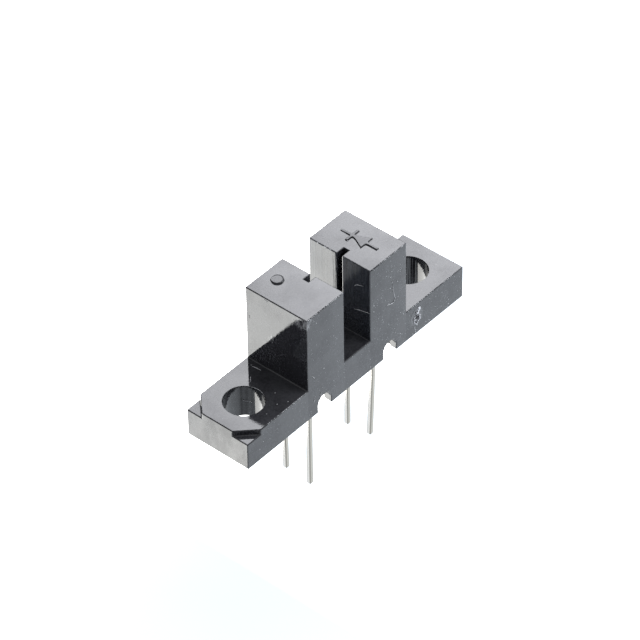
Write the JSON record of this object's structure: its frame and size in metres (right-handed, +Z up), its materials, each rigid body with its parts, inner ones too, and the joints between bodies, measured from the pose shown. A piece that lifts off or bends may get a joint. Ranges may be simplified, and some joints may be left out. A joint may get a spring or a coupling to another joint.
{
  "type": "slotted optical switch",
  "caption": "Slotted optical switch with two towers across a slot, two flanges with screw holes and square leads below.",
  "frame": {"origin": "centre of the housing's underside, the face that sits on the board", "axes": "+X along the length from the detector's tower to the emitter's tower, -Y to the front, +Z up from the board"},
  "size_m": [0.025, 0.006, 0.0198],
  "materials": {
    "black_plastic": "glossy black moulding with fine scuffs",
    "tinned_metal": "satin tin plating",
    "clear_epoxy": "clear epoxy with a faint blue tint",
    "dark_epoxy": "dark epoxy that passes infrared",
    "chip_metal": "metallised chip",
    "chip_silicon": "polished silicon chip",
    "gold": "bright gold wire"
  },
  "bodies": {
    "root": {"housing": "black_plastic", "emitter_package": "clear_epoxy", "detector_package": "dark_epoxy", "emitter_cathode_lead": "tinned_metal", "emitter_anode_lead": "tinned_metal", "detector_collector_lead": "tinned_metal", "detector_emitter_lead": "tinned_metal", "emitter_chip": "chip_metal", "detector_chip": "chip_silicon", "emitter_bond_wire": "gold", "detector_bond_wire": "gold"}
  },
  "joints": []
}
